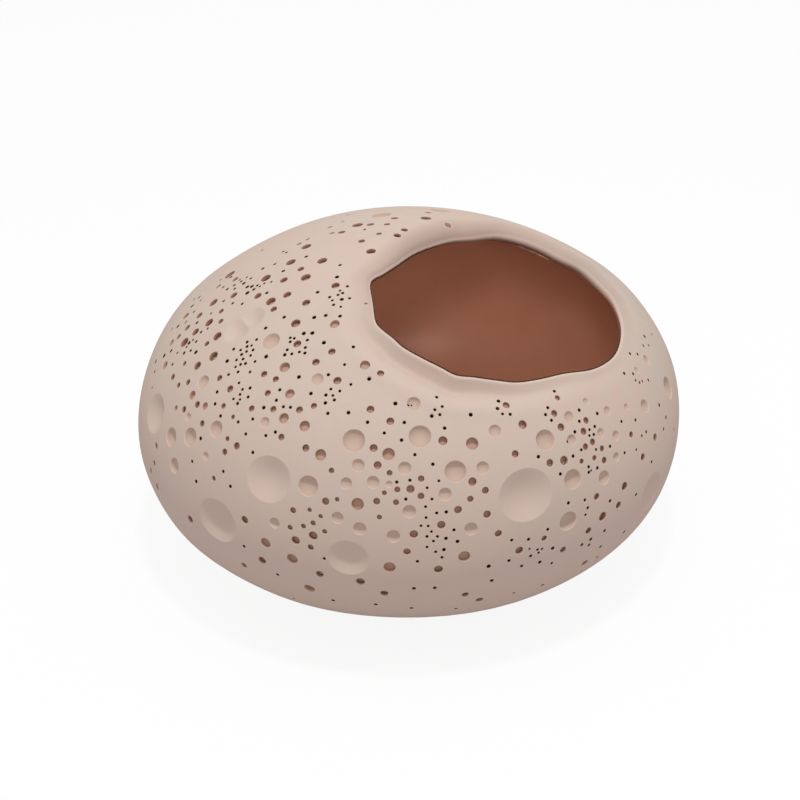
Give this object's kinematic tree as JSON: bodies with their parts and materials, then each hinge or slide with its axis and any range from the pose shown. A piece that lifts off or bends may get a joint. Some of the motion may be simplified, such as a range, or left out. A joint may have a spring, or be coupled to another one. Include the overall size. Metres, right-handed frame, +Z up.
{
  "type": "cachepot",
  "caption": "Squashed egg-shaped ceramic cachepot covered with blind craters, with an off-centre tilted mouth, a dished collar and a glazed inside.",
  "frame": {"origin": "centre of the flat foot, on the table", "axes": "+Z up through the top of the pot, -Y towards the side that the mouth leans to, +X to the right of someone who faces the mouth"},
  "size_m": [0.22, 0.22, 0.1305],
  "materials": {
    "clay": "matt unglazed pale pinkish-beige clay, fine grained",
    "slip": "fired slip of the same clay, sponged flush",
    "glaze": "satin brown glaze"
  },
  "bodies": {
    "root": {"lower_bowl": "clay", "upper_dome": "clay", "equator_slip": "slip", "mouth_collar": "clay", "collar_slip": "slip", "glaze_lining": "glaze"}
  },
  "joints": []
}
